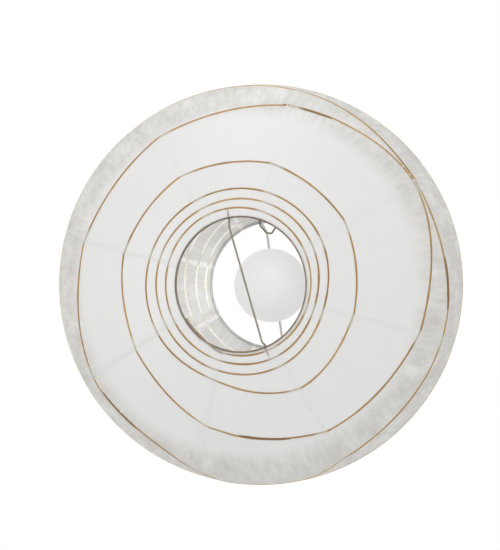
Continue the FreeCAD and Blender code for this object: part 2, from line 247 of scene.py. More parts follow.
def winding_at(steps):
    """Azimuth and distance along the paper after so many seams, counted from the bottom hoop."""
    steps = np.asarray(steps, float)
    last = len(KNOTS) - 1
    i = np.clip(np.searchsorted(KNOTS[:, 0], steps, side="right") - 1, 0, last - 1)
    (s0, before), (s1, here) = KNOTS[np.maximum(i - 1, 0)].T, KNOTS[i].T
    (s2, after), (s3, later) = KNOTS[i + 1].T, KNOTS[np.minimum(i + 2, last)].T
    span, t = s2 - s1, (steps - s1) / (s2 - s1)
    rise_here, rise_after = (after - before) / (s2 - s0) * span, (later - here) / (s3 - s1) * span
    distance = (here * (1 + 2 * t) * (1 - t) ** 2 + rise_here * t * (1 - t) ** 2
                + after * t * t * (3 - 2 * t) + rise_after * t * t * (t - 1))
    near_hoop = np.minimum(distance, LENGTH - distance)
    share = smooth_step(near_hoop, 35, 70) * (1 - smooth_step(near_hoop, 150, 190)) * STRAIGHTER
    part = steps % 1
    shift = share * 4 * part * (1 - part) * SEAM_SAGITTA * (HOOP_R + near_hoop)
    return WIND_START - steps * SEAM_ANGLE, distance - np.where(distance < LENGTH / 2, shift, -shift)


def passes(azimuth):
    """Where the winding passes one azimuth, as distances along the paper, hoops included."""
    first = ((WIND_START - azimuth) / SEAM_ANGLE) % GORES
    steps = np.arange(first, LAST_STEP, GORES)
    return np.r_[0, winding_at(steps)[1], LENGTH]


STOPS = np.linspace(0, LAST_STEP, LAST_STEP * 20 + 1)
ROUTE = on_paper(*winding_at(STOPS))
RUN = np.r_[0, np.cumsum(np.linalg.norm(np.diff(ROUTE, axis=0), axis=1))] / MM


# ---------------------------------------------------------------- mesh helpers
def mesh_object(name, points, faces, smooth=True):
    mesh = bpy.data.meshes.new(name)
    mesh.from_pydata([tuple(p) for p in points], [], faces)
    mesh.update()
    if smooth:
        mesh.polygons.foreach_set("use_smooth", [True] * len(mesh.polygons))
    piece = bpy.data.objects.new(name, mesh)
    bpy.context.scene.collection.objects.link(piece)
    return piece


def face_outward(piece):
    """Turns the faces of a closed piece over if they point inward."""
    mesh = piece.data
    mesh.calc_loop_triangles()
    points = np.array([v.co for v in mesh.vertices])
    corners = points[np.array([t.vertices for t in mesh.loop_triangles])]
    if np.einsum("ij,ij->i", corners[:, 0], np.cross(corners[:, 1], corners[:, 2])).sum() < 0:
        mesh.flip_normals()


def grid_faces(rows, columns, closed=False):
    """Quads of a grid of points in rows. A closed grid joins its last column to the first."""
    wide = columns if closed else columns - 1
    i, j = np.meshgrid(np.arange(rows - 1), np.arange(wide), indexing="ij")
    k = (j + 1) % columns
    quads = np.stack([i * columns + j, i * columns + k, (i + 1) * columns + k, (i + 1) * columns + j], -1)
    return quads.reshape(-1, 4).tolist()


def add_value(piece, name, values):
    attribute = piece.data.attributes.new(name, "FLOAT", "POINT")
    attribute.data.foreach_set("value", np.asarray(values, np.float32).ravel())


def sweep(name, path, section):
    """A closed tube: section holds (side, up) offsets in millimetres round each point of path."""
    path = np.asarray(path, float)
    ahead = np.gradient(path, axis=0)
    ahead /= np.linalg.norm(ahead, axis=1)[:, None]
    up = np.cross(ahead[0], [0.3, 0.2, 1.0])
    rings = []
    offsets = np.array(section) * MM
    for place, forward in zip(path, ahead):
        up = up - forward * (up @ forward)
        up = up / np.linalg.norm(up)
        side = np.cross(forward, up)
        rings.append(place + offsets[:, :1] * side + offsets[:, 1:] * up)
    columns = len(rings[0])
    faces = grid_faces(len(rings), columns, closed=True)
    faces += end_caps(len(rings), columns)
    return mesh_object(name, np.concatenate(rings), faces)


def end_caps(rows, columns):
    return [list(range(columns))[::-1], [(rows - 1) * columns + k for k in range(columns)]]


def circle(radius, count=12):
    angles = np.arange(count) * 2 * math.pi / count
    return np.stack([np.cos(angles), np.sin(angles)], -1) * radius


def rounded_route(corners, bend, step=1.2):
    """Points in millimetres along straight runs joined by tangent arcs of radius bend."""
    corners = [np.array(c, float) for c in corners]
    route = [corners[0]]
    for before, corner, after in zip(corners, corners[1:], corners[2:]):
        back = (before - corner) / np.linalg.norm(before - corner)
        on = (after - corner) / np.linalg.norm(after - corner)
        half = math.acos(np.clip(back @ on, -1, 1)) / 2
        trim = bend / math.tan(half)
        centre = corner + (back + on) / np.linalg.norm(back + on) * bend / math.sin(half)
        start, stop = corner + back * trim - centre, corner + on * trim - centre
        turn = math.pi - 2 * half
        pieces = max(3, int(turn * bend / step * 2))
        for k in range(pieces + 1):
            a = k / pieces
            arc = (math.sin((1 - a) * turn) * start + math.sin(a * turn) * stop) / math.sin(turn)
            route.append(centre + arc)
    route.append(corners[-1])
    dense = [route[0]]
    for a, b in zip(route, route[1:]):
        pieces = max(1, int(np.linalg.norm(b - a) / 4))
        dense += [a + (b - a) * k / pieces for k in range(1, pieces + 1)]
    return np.array(dense)


# ---------------------------------------------------------------- materials
def new_material(name):
    material = bpy.data.materials.new(name)
    material.use_nodes = True
    tree = material.node_tree
    shader = next(n for n in tree.nodes if n.type == "BSDF_PRINCIPLED")
    return material, tree, shader


def node(tree, kind, **settings):
    made = tree.nodes.new(kind)
    for key, value in settings.items():
        if key in made.inputs:
            made.inputs[key].default_value = value
        else:
            setattr(made, key, value)
    return made


def noise(tree, vector, scale, detail=3.0, roughness=0.55):
    made = node(tree, "ShaderNodeTexNoise", Scale=scale, Detail=detail, Roughness=roughness)
    tree.links.new(vector, made.inputs["Vector"])
    return made.outputs["Fac"]


def stretched(tree, vector, scale):
    made = node(tree, "ShaderNodeMapping")
    made.inputs["Scale"].default_value = scale
    tree.links.new(vector, made.inputs["Vector"])
    return made.outputs["Vector"]


def ramp(tree, factor, stops):
    made = node(tree, "ShaderNodeValToRGB")
    elements = made.color_ramp.elements
    while len(elements) < len(stops):
        elements.new(0.5)
    for element, (position, colour) in zip(elements, stops):
        element.position = position
        element.color = (*colour, 1)
    tree.links.new(factor, made.inputs["Fac"])
    return made.outputs["Color"]


def mixed(tree, factor, a, b, blend_type="MIX"):
    made = node(tree, "ShaderNodeMix", data_type="RGBA", blend_type=blend_type)
    for socket, value in ((made.inputs["Factor"], factor), (made.inputs[6], a), (made.inputs[7], b)):
        if hasattr(value, "links") or isinstance(value, bpy.types.NodeSocket):
            tree.links.new(value, socket)
        elif isinstance(value, (int, float)):
            socket.default_value = value
        else:
            socket.default_value = (*value, 1)
    return made.outputs[2]


def maths(tree, operation, a, b=0.0, clamp=False):
    made = node(tree, "ShaderNodeMath", operation=operation, use_clamp=clamp)
    for socket, value in zip(made.inputs, (a, b)):
        if isinstance(value, bpy.types.NodeSocket):
            tree.links.new(value, socket)
        else:
            socket.default_value = value
    return made.outputs[0]


def bump(tree, shader_input, height, strength, distance):
    made = node(tree, "ShaderNodeBump", Strength=strength, Distance=distance)
    tree.links.new(height, made.inputs["Height"])
    tree.links.new(made.outputs["Normal"], shader_input)
    return made.outputs["Normal"]


def attribute(tree, name):
    return node(tree, "ShaderNodeAttribute", attribute_name=name).outputs["Fac"]


def attribute_vector(tree, name):
    return node(tree, "ShaderNodeAttribute", attribute_name=name).outputs["Vector"]


def object_place(tree):
    return node(tree, "ShaderNodeTexCoord").outputs["Object"]


PAPER_WHITE = (0.900, 0.901, 0.905)
# paler where the paper lies double: painted light that cancels the shade of the double layer
PAPER_DOUBLED_PAINTED_LIGHT = (0.915, 0.915, 0.915)
# colours of the rim's mottle, darker than the face: patchy tone and painted shade
PAPER_WARM = (0.700, 0.684, 0.655)
PAPER_GREY = (0.790, 0.778, 0.755)
PAPER_CHALK = (0.900, 0.896, 0.884)
# colour of the painted shadow of the stretcher wire, seen through the paper
WIRE_SHADOW_COLOUR = (0.44, 0.40, 0.33)
TRANSLUCENT = 0.27
PAINTED_INNER_GLOW = 0.22        # painted glow on the strip's pale inner side, standing in for the light that falls on it
PAINTED_LAP_GLOW = 0.28          # painted glow on the under paper of an upper lap, seen from inside, so the lap looks lit


def paper_material():
    """Thin washi: matt, a little light comes through, short fibres, and mottled where it is wrinkled; the
    mottle is darker than the face, partly the paper's own tone and partly painted shade.
    """
    material, tree, shader = new_material("washi")
    place = object_place(tree)
    rim = attribute(tree, "rim")
    streaks = noise(tree, attribute_vector(tree, "flat"), 1.0, 4.0, 0.6)
    cloud = noise(tree, place, 26, 5.0, 0.62)
    fibres = noise(tree, stretched(tree, place, (1.0, 2.2, 1.4)), 420, 3.0, 0.7)
    patchy = maths(tree, "ADD", maths(tree, "MULTIPLY", streaks, 0.42), maths(tree, "MULTIPLY", cloud, 0.58))
    # painted shade with the paper's patchy tone: the rim and upper side are mottled darker than the face's
    # white
    patch_colour = ramp(tree, patchy, [(0.36, PAPER_WARM), (0.50, PAPER_GREY), (0.64, PAPER_CHALK)])
    colour = mixed(tree, rim, PAPER_WHITE, patch_colour)
    # painted light: the doubled paper at the laps is drawn paler
    colour = mixed(tree, attribute(tree, "doubled"), colour, PAPER_DOUBLED_PAINTED_LIGHT)
    # painted shadow of the stretcher's feet, seen through the paper
    colour = mixed(tree, attribute(tree, "painted_wire_shadow"), colour, WIRE_SHADOW_COLOUR)
    flecks = ramp(tree, fibres, [(0.3, (0.62, 0.60, 0.56)), (0.6, (1, 1, 1))])
    colour = mixed(tree, 0.05, colour, flecks, "MULTIPLY")
    tree.links.new(colour, shader.inputs["Base Color"])
    tree.links.new(colour, shader.inputs["Emission Color"])
    # painted glow: the under paper of the laps on the upper side emits a little light
    tree.links.new(maths(tree, "MULTIPLY", attribute(tree, "painted_lap_glow"), PAINTED_LAP_GLOW),
                   shader.inputs["Emission Strength"])
    shader.inputs["Roughness"].default_value = 0.82
    shader.inputs["Specular IOR Level"].default_value = 0.2
    crumple = maths(tree, "MULTIPLY", maths(tree, "MULTIPLY", patchy, rim), 2.2)
    normal = bump(tree, shader.inputs["Normal"], maths(tree, "ADD", fibres, crumple), 0.3, 0.0006)
    through = node(tree, "ShaderNodeBsdfTranslucent")
    tree.links.new(colour, through.inputs["Color"])
    tree.links.new(normal, through.inputs["Normal"])
    both = node(tree, "ShaderNodeMixShader", Fac=TRANSLUCENT)
    tree.links.new(shader.outputs[0], both.inputs[1])
    tree.links.new(through.outputs[0], both.inputs[2])
    output = next(n for n in tree.nodes if n.type == "OUTPUT_MATERIAL")
    tree.links.new(both.outputs[0], output.inputs["Surface"])
    return material


def bamboo_material():
    """Split bamboo: long fibres, brown where the glue has soaked in outside, cream inside, made paler than the
    paper as painted highlight and given a painted glow.
    """
    material, tree, shader = new_material("split_bamboo")
    grain = attribute_vector(tree, "grain")
    fibres = noise(tree, stretched(tree, grain, (12, 900, 900)), 1.0, 3.0, 0.6)
    tone = noise(tree, stretched(tree, grain, (9, 9, 9)), 1.0, 2.0, 0.5)
    outside = attribute(tree, "outside")
    covered = attribute(tree, "covered")
    lapped = attribute(tree, "lapped")
    brown = ramp(tree, fibres, [(0.30, (0.24, 0.122, 0.024)), (0.52, (0.36, 0.205, 0.052)),
                                (0.75, (0.48, 0.31, 0.10))])
    golden = mixed(tree, ramp(tree, tone, [(0.42, (0, 0, 0)), (0.66, (1, 1, 1))]), brown, (0.50, 0.31, 0.11))
    # cream inner side: the pale bamboo, brightened past the paper as painted highlight
    cream = ramp(tree, fibres, [(0.25, (0.82, 0.76, 0.60)), (0.50, (0.94, 0.92, 0.84)),
                                (0.80, (0.96, 0.95, 0.90))])
    colour = mixed(tree, outside, cream, golden)
    colour = mixed(tree, maths(tree, "MULTIPLY", lapped, outside), colour, (0.20, 0.110, 0.035))
    colour = mixed(tree, covered, colour, (0.56, 0.53, 0.45))
    tree.links.new(colour, shader.inputs["Base Color"])
    tree.links.new(colour, shader.inputs["Emission Color"])
    # painted glow: the inner side emits a little light so it looks lit
    painted_glow = maths(tree, "MULTIPLY", maths(tree, "SUBTRACT", 1.0, outside), PAINTED_INNER_GLOW)
    tree.links.new(painted_glow, shader.inputs["Emission Strength"])
    shader.inputs["Roughness"].default_value = 0.48
    shader.inputs["Coat Weight"].default_value = 0.12
    shader.inputs["Coat Roughness"].default_value = 0.35
    bump(tree, shader.inputs["Normal"], fibres, 0.5, 0.0002)
    return material


def wire_material(name, colour, patch_colour, metallic, roughness):
    """Drawn wire with a thin lacquer, duller in patches."""
    material, tree, shader = new_material(name)
    place = object_place(tree)
    patches = noise(tree, place, 60, 4.0, 0.6)
    fine = noise(tree, place, 900, 2.0, 0.6)
    tree.links.new(mixed(tree, ramp(tree, patches, [(0.42, (0, 0, 0)), (0.66, (1, 1, 1))]), colour, patch_colour),
                   shader.inputs["Base Color"])
    dull = ramp(tree, fine, [(0.3, (roughness - 0.1,) * 3), (0.7, (roughness + 0.12,) * 3)])
    tree.links.new(dull, shader.inputs["Roughness"])
    shader.inputs["Metallic"].default_value = metallic
    bump(tree, shader.inputs["Normal"], fine, 0.25, 0.0001)
    return material


def moulded_material(name, colour, roughness, grain=700.0, metallic=0.0, depth=0.00005):
    """A moulded or pressed surface with a fine grain and slight changes of tone."""
    material, tree, shader = new_material(name)
    place = object_place(tree)
    fine = noise(tree, place, grain, 3.0, 0.6)
    tone = noise(tree, place, 45, 3.0, 0.5)
    darker = tuple(c * 0.9 for c in colour)
    tree.links.new(mixed(tree, tone, darker, colour), shader.inputs["Base Color"])
    dull = ramp(tree, fine, [(0.3, (roughness * 0.85,) * 3), (0.7, (min(roughness * 1.2, 1),) * 3)])
    tree.links.new(dull, shader.inputs["Roughness"])
    shader.inputs["Metallic"].default_value = metallic
    bump(tree, shader.inputs["Normal"], fine, 0.3, depth)
    return material


def opal_material():
    """Opal glass: even and satin, with a painted glow that evens out the shading of the switched-off globe."""
    material, tree, shader = new_material("opal_glass")
    place = object_place(tree)
    cloud = noise(tree, place, 16, 3.0, 0.5)
    colour = ramp(tree, cloud, [(0.3, (0.30, 0.30, 0.30)), (0.7, (0.31, 0.31, 0.31))])
    tree.links.new(colour, shader.inputs["Base Color"])
    tree.links.new(colour, shader.inputs["Emission Color"])
    # painted glow: the globe is not lit here; the emission evens out its shading
    shader.inputs["Emission Strength"].default_value = 1.70
    shader.inputs["Roughness"].default_value = 0.42
    shader.inputs["Specular IOR Level"].default_value = 0.2
    bump(tree, shader.inputs["Normal"], noise(tree, place, 600), 0.1, 0.00004)
    return material


MATERIALS = {
    "paper": paper_material(),
    "bamboo": bamboo_material(),
    "hoop_wire": wire_material("hoop_wire", (0.190, 0.145, 0.105), (0.270, 0.210, 0.150), 0.0, 0.42),
    "stretcher_wire": wire_material("stretcher_wire", (0.235, 0.205, 0.150), (0.34, 0.305, 0.235), 0.0, 0.40),
    # the bridge wire's pale grey is painted reflection: the bright sheen of the wire, drawn as a pale non-metal
    "bridge_wire": wire_material("bridge_wire", (0.84, 0.84, 0.83), (0.90, 0.90, 0.89), 0.0, 0.34),
    "holder_plastic": moulded_material("holder_plastic", (0.80, 0.80, 0.78), 0.34),
    "ceramic": moulded_material("ceramic", (0.74, 0.71, 0.65), 0.7, 500, 0.0, 0.0001),
    "brass": moulded_material("brass", (0.72, 0.52, 0.22), 0.30, 900, 1.0),
    "zinc_steel": moulded_material("zinc_steel", (0.62, 0.63, 0.65), 0.32, 900, 1.0),
    "nickel": moulded_material("nickel", (0.66, 0.65, 0.61), 0.28, 900, 1.0),
    "black_glass": moulded_material("black_glass", (0.020, 0.020, 0.022), 0.14, 300),
    "opal_glass": opal_material(),
    "led_aluminium": moulded_material("led_aluminium", (0.75, 0.75, 0.76), 0.42, 800, 1.0),
    "circuit_board": moulded_material("circuit_board", (0.035, 0.140, 0.060), 0.45, 260),
    "thread": moulded_material("cotton_thread", (0.42, 0.34, 0.24), 0.85, 1500, 0.0, 0.0001),
}


def finish_piece(piece, slot, body, *nodes):
    if slot != "paper":
        face_outward(piece)
    piece.data.materials.clear()
    piece.data.materials.append(MATERIALS[slot])
    if nodes:
        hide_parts(*nodes)
    if piece.parent is None and body:
        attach(piece, body)
    return piece


BODY = {n: body for body, names in frame["record"]["behaviour"]["bodies"].items() for n in names}


def press(piece):
    """Gives the piece its own copy of its mesh."""
    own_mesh(piece)
    return piece


# ---------------------------------------------------------------- paper
streaks_rim = waves(40, (5, 26), 3.0, 11)
streaks_face = waves(12, (25, 90), 2.5, 12)
puckers = waves(24, (3.5, 12), 1.6, 13)
edge_wave = waves(6, (14, 60), 1.0, 14)
FEET = [(FOOT_A[1], (-17.2, -99.0)), (FOOT_B[0], (38.5, 94.0))]   # plan of the stretcher's feet
WIRE_SHADOW_EDGE = (0.5, 1.7)   # from the wire's centreline, where its painted shadow on the paper ends, millimetres
WIRE_SHADOW_FADES = (0.45, 1.0)          # along the foot
WIRE_SHADOW_BELOW = 20.0        # only the paper this near the bottom hoop's plane gets the painted shadow


def sag_of(azimuths, distances):
    """How far the paper hangs in between two passes of the bamboo, in millimetres, row by row."""
    sag = np.zeros(azimuths.shape)
    for j in range(azimuths.shape[1]):
        rest = passes(float(azimuths[:, j].mean()))
        d = distances[:, j]
        k = np.clip(np.searchsorted(rest, d) - 1, 0, len(rest) - 2)
        gap = rest[k + 1] - rest[k]
        share = np.clip((d - rest[k]) / gap, 0, 1)
        bend = np.interp((rest[k] + rest[k + 1]) / 2, DISTANCE, CURVATURE)
        depth = np.minimum(gap ** 2 / 8 * bend + gap * SLACK, DEEPEST_SAG)
        sag[:, j] = depth * 4 * share * (1 - share)
    return sag


def painted_wire_shadow(points):
    """Painted shadow: one where the stretcher's foot lies against the bottom of the paper, so its shadow shows
    through.
    """
    flat = (points.reshape(-1, 3) - ORIGIN) / MM
    shadow_share = np.zeros(len(flat))
    for inner, outer in FEET:
        inner, outer = np.array(inner), np.array(outer)
        run = outer - inner
        along = (flat[:, :2] - inner) @ run / (run @ run)
        off = np.linalg.norm(flat[:, :2] - inner - np.clip(along, 0, 1)[:, None] * run, axis=1)
        fade = 1 - smooth_step(along, *WIRE_SHADOW_FADES)
        shadow_share = np.maximum(shadow_share, (1 - smooth_step(off, *WIRE_SHADOW_EDGE)) * fade * (flat[:, 2] < WIRE_SHADOW_BELOW))
    return shadow_share


def gore_piece(index):
    first = FIRST_SEAM + index * SEAM_ANGLE
    rows = int(LENGTH / PAPER_ROW)
    distance = np.linspace(0, LENGTH, rows)[:, None] * np.ones(PAPER_COLUMNS)
    radius = radius_at(distance)
    lap = np.degrees((LAP + 0.8 * edge_wave(distance, distance * 0 + index * 40)) / radius)
    share = np.linspace(0, 1, PAPER_COLUMNS)[None, :] * np.ones((rows, 1))
    azimuth = first + share * (SEAM_ANGLE + lap)
    across = np.radians(azimuth) * WIDEST_R
    past = (azimuth - first - SEAM_ANGLE) * np.pi / 180 * radius
    lift = LAP_LIFT * smooth_step(past, -3, 1.5)
    rim = smooth_step(radius, RIM_FROM, RIM_TO)
    # the upper side gets part of the rim's mottle and painted shade
    rim = np.maximum(rim, UPPER_MOTTLE_AND_SHADE * smooth_step(distance, *UPPER_FROM))
    from_seam = np.minimum(np.abs(past), np.abs((azimuth - first) * np.pi / 180 * radius))
    near_seam = np.exp(-(from_seam / PUCKER_REACH) ** 2)
    wrinkle = (WRINKLE_FACE * streaks_face(across, distance)
               + WRINKLE_RIM * rim * streaks_rim(across, distance)
               + (PUCKER_FACE + PUCKER_RIM * rim) * near_seam * puckers(across, distance))
    tied = smooth_step(np.minimum(distance, LENGTH - distance), 0, TIED_FOR)
    inset = sag_of(azimuth, distance) - lift + np.clip(wrinkle, *WRINKLE_DEPTH) * tied + REST_INSET * tied
    body = on_paper(azimuth, distance, inset)
    wraps = []
    for level, sign, turns in ((0.0, -1, WRAP_BOTTOM), (SHADE_HEIGHT, 1, WRAP_TOP)):
        edge = np.radians(azimuth[0 if sign < 0 else -1])
        wraps.append([])
        for turn in np.radians(turns):
            ring = HOOP_R + HOOP_COVER * math.cos(turn)
            z = edge * 0 + level + sign * HOOP_COVER * math.sin(turn)
            wraps[-1].append(ORIGIN + np.stack([ring * np.cos(edge), ring * np.sin(edge), z], -1) * MM)
    points = np.concatenate([np.array(wraps[0][::-1]), body, np.array(wraps[1])])
    rows_all = len(points)
    piece = mesh_object(f"paper_gore_{index + 1}", points.reshape(-1, 3), grid_faces(rows_all, PAPER_COLUMNS))
    pad = ((len(WRAP_BOTTOM), len(WRAP_TOP)), (0, 0))
    flat = np.stack([np.pad(across, pad, mode="edge") / GRAIN_ACROSS,
                     np.pad(distance, pad, mode="edge") / GRAIN_ALONG,
                     np.zeros((rows_all, PAPER_COLUMNS))], -1)
    layer = piece.data.attributes.new("flat", "FLOAT_VECTOR", "POINT")
    layer.data.foreach_set("vector", flat.astype(np.float32).ravel())
    add_value(piece, "rim", np.pad(rim, pad, mode="edge"))
    from_start = np.radians(azimuth - first) * radius
    under = 1 - smooth_step(from_start, LAP - 1, LAP + 0.5)
    doubled = np.maximum(smooth_step(past, -0.6, 0.6), under)
    add_value(piece, "doubled", np.pad(doubled * (1 - 0.7 * rim), pad, mode="edge"))
    # where the painted glow goes: the under paper of a lap on the upper side
    lap_glow_share = under * smooth_step(distance, *UPPER_FROM)
    add_value(piece, "painted_lap_glow", np.pad(lap_glow_share, pad, mode="edge"))
    add_value(piece, "painted_wire_shadow", painted_wire_shadow(points))
    finish_piece(piece, "paper", BODY[f"gore_{index + 1}"], f"gore_{index + 1}")
    press(piece)
    return piece


# ---------------------------------------------------------------- bamboo
STRIP_SECTION = [(-0.50, 0.32), (-0.42, 0.08), (-0.28, 0.0), (0.0, -0.06), (0.28, 0.0), (0.42, 0.08),
                 (0.50, 0.32), (0.50, 0.70), (0.40, 0.96), (0.0, 1.0), (-0.40, 0.96), (-0.50, 0.70)]
STRIP_PROUD = 0.30       # the paper dries round the strip, so its outer face shows, millimetres
STRIP_UNEVEN = 0.10      # of its width, as a share
KNUCKLE_EVERY = 215.0    # length between the bamboo's knuckles, millimetres
KNUCKLE_LONG = 3.0
KNUCKLE_WIDER = 0.22     # as a share of the strip's width
KNUCKLE_THICKER = 0.15
TIP_SHARE = 0.45         # of the full width, at a strip's tips
TIP_LONG = 14.0
DIVE_LONG = 30.0         # length in which a strip moves over before a lap, millimetres
DIVE_IN = 0.15
BESIDE = 0.62            # of a strip's width, between two lapped strips
BESIDE_FROM = (60, 100)  # from a hoop, where lapped strips begin to lie side by side
LEAD_FROM = 149.0        # azimuth where the first strip begins, tied inside the bottom hoop
LEAD_INSIDE = 2.75       # from the hoop's centreline in to the strip there, millimetres
LEAD_LEVEL = -1.3        # of its outer face, against the hoop's plane
LEAD_DIP = 1.9           # as it passes under the hoop
thick_wave = waves(5, (20, 120), 1.0, 21)


def strip_starts():
    starts = [0.0, FIRST_SPLICE]
    while starts[-1] + STRIP_LENGTH + SPLICE_LAP < RUN[-1]:
        starts.append(starts[-1] + STRIP_LENGTH)
    return starts


def strip_piece(index, start, end, lapped):
    length = np.linspace(start, end, max(12, int((end - start) / 4)))
    azimuth, distance = winding_at(np.interp(length, RUN, STOPS))
    dive = smooth_step(length, end - SPLICE_LAP - DIVE_LONG, end - SPLICE_LAP) if lapped else length * 0
    joints = rng.uniform(0, 200)
    knuckle = np.exp(-((((length + joints) % KNUCKLE_EVERY) - KNUCKLE_EVERY // 2) / KNUCKLE_LONG) ** 2)
    uneven = STRIP_UNEVEN * thick_wave(length, length * 0 + index * 33)
    wide = STRIP_WIDE * (1 + uneven + KNUCKLE_WIDER * knuckle)
    tip = np.minimum(length - start, end - length)
    wide = wide * (TIP_SHARE + (1 - TIP_SHARE) * smooth_step(tip, 0, TIP_LONG))
    beside = BESIDE * STRIP_WIDE * smooth_step(np.minimum(distance, LENGTH - distance), *BESIDE_FROM)
    rings = []
    for across, depth in STRIP_SECTION:
        inset = depth * STRIP_THICK * (1 + KNUCKLE_THICKER * knuckle) - STRIP_PROUD + dive * DIVE_IN
        rings.append(on_paper(azimuth, distance + across * wide + dive * beside, inset))
    rings = np.array(rings).transpose(1, 0, 2)
    if index == 0:
        rings, length = lead_in(rings, length)
    columns = len(STRIP_SECTION)
    faces = grid_faces(len(rings), columns, closed=True) + end_caps(len(rings), columns)
    name = f"rib_{index + 1:02d}"
    piece = mesh_object(f"bamboo_{name}", rings.reshape(-1, 3), faces)
    grain = np.zeros((len(rings), columns, 3))
    grain[..., 0] = length[:, None] * MM
    grain[..., 1] = np.array([a * STRIP_WIDE for a, _ in STRIP_SECTION]) * MM
    grain[..., 2] = np.array([d for _, d in STRIP_SECTION]) * MM + index * 3.7
    layer = piece.data.attributes.new("grain", "FLOAT_VECTOR", "POINT")
    layer.data.foreach_set("vector", grain.astype(np.float32).ravel())
    outside = np.array([1.0 if d < 0.4 else 0.0 for _, d in STRIP_SECTION])
    add_value(piece, "outside", np.tile(outside, (len(rings), 1)))
    steps = np.interp(np.clip(length, 0, None), RUN, STOPS)
    seam_shift = (WIND_START - steps * SEAM_ANGLE - FIRST_SEAM) % SEAM_ANGLE
    off_seam = seam_shift * np.pi / 180 * radius_at(winding_at(steps)[1])
    cover = smooth_step(off_seam, -1, 1) * (1 - smooth_step(off_seam, LAP + 7, LAP + 15))
    add_value(piece, "covered", cover[:, None] * 0.8 * np.ones(columns))
    ends = np.maximum(smooth_step(length, end - SPLICE_LAP, end - SPLICE_LAP + 6) * lapped,
                      (1 - smooth_step(length, start + SPLICE_LAP - 6, start + SPLICE_LAP)) * (index > 0))
    off_hoop = winding_at(steps)[1]
    ends = ends * smooth_step(np.minimum(off_hoop, LENGTH - off_hoop), *BESIDE_FROM)
    ends = np.maximum(ends, length < 6) * 0.8
    add_value(piece, "lapped", ends[:, None] * np.ones(columns))
    finish_piece(piece, "bamboo", BODY[name], name)
    return press(piece)


def lead_in(rings, length):
    """The first strip starts tied along the inside of the bottom hoop and slips out under it."""
    steps = np.linspace(0, 1, 26)[:-1]
    start_mid = rings[0].mean(0)
    end_angle = math.atan2(*(start_mid - ORIGIN)[1::-1])
    angle = math.radians(LEAD_FROM) + (end_angle - math.radians(LEAD_FROM)) * steps
    outer = np.linalg.norm((start_mid - ORIGIN)[:2]) / MM
    inner = HOOP_R - LEAD_INSIDE
    centre_r = inner + (outer - inner) * smooth_step(steps, 0.45, 1.0)
    z = LEAD_LEVEL - LEAD_DIP * np.sin(np.pi * np.clip(steps * 1.5 - 0.55, 0, 1))
    added = []
    for a, r, h in zip(angle, centre_r, z):
        flat = np.array([[r + x * STRIP_WIDE, h + d * STRIP_THICK] for x, d in STRIP_SECTION])
        ring = np.stack([flat[:, 0] * math.cos(a), flat[:, 0] * math.sin(a), flat[:, 1]], -1)
        added.append(ORIGIN + ring * MM)
    gap = np.linalg.norm(added[-1].mean(0) - added[0].mean(0)) / MM
    before = np.linspace(-gap - 4, -2.5, len(steps))
    return np.concatenate([np.array(added), rings]), np.r_[before, length]


# ---------------------------------------------------------------- hoops and wires
def hoop_piece(name, node_name, bound_at):
    """A slightly uneven wire hoop, bound with thread at some azimuths."""
    centre = np.array(middle(node_name))
    angle = np.radians(np.linspace(0, 360, 361))[:-1]
    wobble = 0.10 * np.sin(3 * angle + 1.0)
    ring = centre + np.stack([(HOOP_R + wobble) * np.cos(angle), (HOOP_R + wobble) * np.sin(angle),
                              0 * angle], -1) * MM
    sections = circle(HOOP_WIRE / 2, 14)
    rings = []
    for i, a in enumerate(angle):
        side = np.array([math.cos(a), math.sin(a), 0])
        rings.append(ring[i] + sections[:, :1] * MM * side + sections[:, 1:] * MM * np.array([0, 0, 1.0]))
    columns = len(sections)
    count = len(rings)
    faces = grid_faces(count, columns, closed=True)
    last = (count - 1) * columns
    faces += [[last + j, last + (j + 1) % columns, (j + 1) % columns, j] for j in range(columns)]
    piece = mesh_object(name, np.concatenate(rings), faces)
    finish_piece(piece, "hoop_wire", BODY[node_name], node_name)
    for k, at in enumerate(bound_at):
        binding_piece(f"{name}_binding_{k + 1}", centre, at, BODY[node_name])
    return piece


def binding_piece(name, centre, at, body):
    """Thread wound round the hoop."""
    t = np.linspace(0, THREAD_TURNS, THREAD_TURNS * 14)
    radius = HOOP_WIRE / 2 + THREAD_OUT
    angle = math.radians(at) + (t - THREAD_TURNS / 2) * THREAD_PITCH / HOOP_R
    r = HOOP_R + radius * np.cos(2 * math.pi * t)
    z = radius * np.sin(2 * math.pi * t)
    path = centre + np.stack([r * np.cos(angle), r * np.sin(angle), z], -1) * MM
    piece = sweep(name, path, circle(THREAD_R, 6))
    return finish_piece(piece, "thread", body)


def at_heights(plan, heights):
    return [(x, y, z) for (x, y), z in zip(plan, heights)]


def stretcher_route():
    foot = (HOOP_WIRE + STRETCHER_WIRE) / 2 + WIRE_GAP
    shelf, half = SHADE_HEIGHT - foot, SHADE_HEIGHT / 2
    points = at_heights(HOOK_A, [shelf] * len(HOOK_A))
    points += at_heights(LEG_A, [shelf - HOOK_DIP, half]) + at_heights(FOOT_A, [foot + FOOT_RISE_A, foot])
    points += at_heights(BAR, [-BAR_DROP] * 2)
    points += at_heights(FOOT_B, [foot, foot + FOOT_RISE_B]) + at_heights(LEG_B, [half, shelf - HOOK_DIP])
    return points + at_heights(HOOK_B, [shelf] * len(HOOK_B))


def stretcher_piece():
    route = ORIGIN + rounded_route(stretcher_route(), WIRE_BEND) * MM
    piece = sweep("stretcher_spring_wire", route, circle(STRETCHER_WIRE / 2, 14))
    finish_piece(piece, "stretcher_wire", BODY["stretcher_wire"], "stretcher_wire")
    return press(piece)


